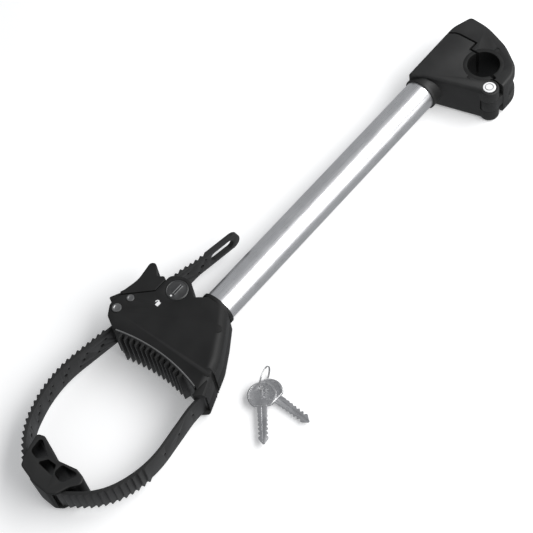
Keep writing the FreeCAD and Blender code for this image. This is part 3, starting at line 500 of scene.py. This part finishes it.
def turned(name, centre, profile, look, body):
    """Solid of revolution about +Z from a profile of (radius, height) points."""
    shape = bmesh.new()
    rings = []
    for radius, height in profile:
        points = level_circle(centre, radius, height, ROUND_STEPS)
        rings.append([shape.verts.new(point) for point in points])
    for low, high in zip(rings, rings[1:]):
        for k in range(ROUND_STEPS):
            after = (k + 1) % ROUND_STEPS
            shape.faces.new((low[k], low[after], high[after], high[k]))
    shape.faces.new(list(reversed(rings[0])))
    shape.faces.new(rings[-1])
    bmesh.ops.recalc_face_normals(shape, faces=shape.faces)
    mesh = bpy.data.meshes.new(name)
    shape.to_mesh(mesh)
    shape.free()
    shade(mesh, TURNED_CREASE)
    return add_piece(name, mesh, look, body)


def pin_with_dimple(node, shaft_radius, head_height, look):
    """Headed pin with a rolled rim and a dimple in its head."""
    low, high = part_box(node)
    centre = (low + high) / 2
    head = (high.x - low.x) / 2
    profile = [
        (shaft_radius * RIVET_TIP, low.z),
        (shaft_radius, low.z + RIVET_CHAMFER),
        (shaft_radius, high.z - head_height),
    ]
    for out, down in RIVET_HEAD:
        profile.append((head * out, high.z - head_height * down))
    piece = turned(node + "_turned", centre, profile, look, body_of(node))
    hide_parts(node)


def block(name, foot, size, look, body, roll):
    """Block with rolled edges and its sides along the axes, standing on its foot."""
    shape = bmesh.new()
    bmesh.ops.create_cube(shape, size=1.0)
    middle = foot + Vector((0.0, 0.0, size[2] / 2))
    placing = Matrix.Translation(middle) @ Matrix.Diagonal((*size, 1.0))
    bmesh.ops.transform(shape, matrix=placing, verts=shape.verts)
    bmesh.ops.bevel(shape, geom=list(shape.edges), offset=roll, segments=ROLL_STEPS,
                    affect="EDGES", clamp_overlap=True)
    mesh = bpy.data.meshes.new(name)
    shape.to_mesh(mesh)
    shape.free()
    shade(mesh, CREASE_ANGLE)
    return add_piece(name, mesh, look, body)


def lock_trim():
    """Rolled rim of the lock's face and the two raised ribs of its grip bar."""
    low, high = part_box("lock_plug")
    centre = (low + high) / 2
    radius = (high.x - low.x) / 2
    face_z = high.z - LOCK_BAR_HEIGHT
    body = body_of("lock_plug")
    circle = level_circle(centre, radius - LOCK_RIM, face_z, LOCK_RIM_STEPS)
    tube_along("lock_face_rim", circle, LOCK_RIM / 2, LOCK_RIM_METAL, body, closed=True)
    rib = (LOCK_BAR_LENGTH, LOCK_BAR_WIDTH * LOCK_RIB_WIDTH, LOCK_BAR_HEIGHT * LOCK_RIB_HEIGHT)
    for k, side in enumerate((-1.0, 1.0)):
        foot = Vector((centre.x + LOCK_BAR_SHIFT.x, centre.y + LOCK_BAR_SHIFT.y, face_z))
        foot.y += side * LOCK_BAR_WIDTH * LOCK_RIB_PLACE
        block(f"lock_grip_bar_{k + 1}", foot, rib, LOCK_BAR_METAL, body, LOCK_RIB_ROLL)


def pin_ring():
    """Rolled ring around the dimple in the head of the clamp's hinge pin."""
    low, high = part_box("clamp_hinge_pin")
    centre = (low + high) / 2
    radius = (high.x - low.x) / 2
    circle = level_circle(centre, radius * PIN_RING, high.z, ROUND_STEPS)
    tube_along("hinge_pin_ring", circle, PIN_RING_BEAD, ZINC, body_of("clamp_hinge_pin"), closed=True)


def saddle_beads():
    """Rolled lip of the saddle pad along both faces of the housing, in lighter rubber as a painted
    highlight.
    """
    low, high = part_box("saddle_pad")
    reach_up = math.asin((high.y - SADDLE_MIDDLE.y) / SADDLE_RADIUS) - SADDLE_END
    reach_down = math.asin((low.y - SADDLE_MIDDLE.y) / SADDLE_RADIUS) + SADDLE_END
    arc = SADDLE_RADIUS - SADDLE_BEAD_OUT
    for side, z in (("top", high.z), ("bottom", low.z + SADDLE_BEAD)):
        points = []
        for k in range(SADDLE_STEPS + 1):
            angle = reach_down + (reach_up - reach_down) * k / SADDLE_STEPS
            points.append((SADDLE_MIDDLE.x - arc * math.cos(angle),
                           SADDLE_MIDDLE.y + arc * math.sin(angle), z))
        tube_along(f"saddle_edge_{side}", points, SADDLE_BEAD, SADDLE_LIP_HIGHLIGHT, body_of("saddle_pad"))


def key_trim():
    """Bright rolled rim around each key's head, along its flat foot too."""
    for joint in frame["record"]["behaviour"]["joints"]:
        node = joint["child"]
        if node not in KEY_HEADINGS:
            continue
        along, across = directions(KEY_HEADINGS[node])
        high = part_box(node)[1]
        middle = Vector(joint["pos_m"]) + along * KEY_HOLE_TO_HEAD
        middle.z = high.z - KEY_BEAD * KEY_BEAD_DOWN
        reach = KEY_HEAD_RADIUS - KEY_BEAD * KEY_BEAD_IN
        start = math.acos((KEY_HEAD_RADIUS - KEY_FOOT) / reach)
        points = []
        for k in range(KEY_STEPS + 1):
            angle = start + (2 * math.pi - 2 * start) * k / KEY_STEPS
            points.append(middle + along * reach * math.cos(angle) + across * reach * math.sin(angle))
        tube_along(node + "_rim", points, KEY_BEAD, NICKEL_BRIGHT, node, closed=True)


def split_ring():
    """Key ring wound in two turns that lie side by side."""
    low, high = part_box("key_ring")
    centre = (low + high) / 2
    radius = (high.z - low.z) / 2 - SPLIT_WIRE
    heading = math.atan2(high.y - low.y - 2 * KEY_RING_WIRE, high.x - low.x - 2 * KEY_RING_WIRE)
    along, across = directions(heading)
    count = SPLIT_TURNS * SPLIT_STEPS
    points = []
    for k in range(count + 1):
        angle = 2 * math.pi * k / SPLIT_STEPS
        shift = SPLIT_WIRE * SPLIT_PITCH * math.tanh(SPLIT_CROSSING * (k / count - 0.5))
        place = centre + along * radius * math.cos(angle) + across * shift
        points.append(place + Vector((0.0, 0.0, radius * math.sin(angle))))
    piece = tube_along("split_ring_wire", points, SPLIT_WIRE, NICKEL_BRIGHT, body_of("key_ring"))
    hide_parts("key_ring")


def make_pieces():
    """Every piece that stands in for a CAD node or adds to one."""
    for node, look, width in ROLLED:
        rounded(node, look, width)
    pin_with_dimple("lever_pivot_pin", 0.0025, 0.0013, ZINC)
    pin_with_dimple("holding_pawl_pin", 0.0015, 0.0009, ZINC)
    lock_trim()
    pin_ring()
    key_trim()
    saddle_beads()
    split_ring()


# ---------------------------------------------------------------- stage
def make_camera():
    """Camera that looks from its place to its aim, turned by the roll about its own axis."""
    data = bpy.data.cameras.new("product_camera")
    data.lens = CAMERA_LENS
    data.sensor_width = CAMERA_SENSOR
    data.clip_end = CAMERA_SIGHT
    camera = bpy.data.objects.new("product_camera", data)
    bpy.context.scene.collection.objects.link(camera)
    facing = (CAMERA_AIM - CAMERA_PLACE).to_track_quat("-Z", "Y").to_matrix().to_4x4()
    facing.translation = CAMERA_PLACE
    camera.matrix_world = facing @ Matrix.Rotation(-CAMERA_ROLL, 4, "Z")
    bpy.context.scene.camera = camera


def make_floor():
    """Plain pale floor with a little glow of its own, left out of reflections."""
    mesh = bpy.data.meshes.new("floor")
    corners = []
    for x, y in ((-1, -1), (1, -1), (1, 1), (-1, 1)):
        corners.append((x * FLOOR_REACH, y * FLOOR_REACH, FLOOR_Z - FLOOR_DROP))
    mesh.from_pydata(corners, [], [(0, 1, 2, 3)])
    floor = bpy.data.objects.new("floor", mesh)
    bpy.context.scene.collection.objects.link(floor)
    look, _, shader = material("pale_floor", grey(FLOOR_TONE), 0.9)
    shader.inputs["Specular IOR Level"].default_value = 0.0
    shader.inputs["Emission Color"].default_value = (*grey(1.0), 1.0)
    shader.inputs["Emission Strength"].default_value = FLOOR_GLOW
    mesh.materials.append(look)
    floor.visible_glossy = False


def area_light(name, place, aim, size, power):
    """Rectangular soft box that faces a point."""
    data = bpy.data.lights.new(name, "AREA")
    data.shape = "RECTANGLE"
    data.size, data.size_y = size
    data.energy = power
    light = bpy.data.objects.new(name, data)
    bpy.context.scene.collection.objects.link(light)
    light.location = place
    light.rotation_euler = (aim - place).to_track_quat("-Z", "Y").to_euler()


def make_light():
    """Pale surroundings, a long soft box above the arm and a low card beside it."""
    world = bpy.data.worlds.new("studio")
    world.use_nodes = True
    background = world.node_tree.nodes["Background"]
    background.inputs["Color"].default_value = WORLD_COLOUR
    background.inputs["Strength"].default_value = WORLD_STRENGTH
    bpy.context.scene.world = world
    for name, (offset, size, power) in SOFT_BOXES.items():
        area_light(name, LIGHT_AIM + offset, LIGHT_AIM, size, power)


bpy.context.scene.view_settings.view_transform = "Standard"
make_camera()
dress_cad()
make_pieces()
make_floor()
make_light()
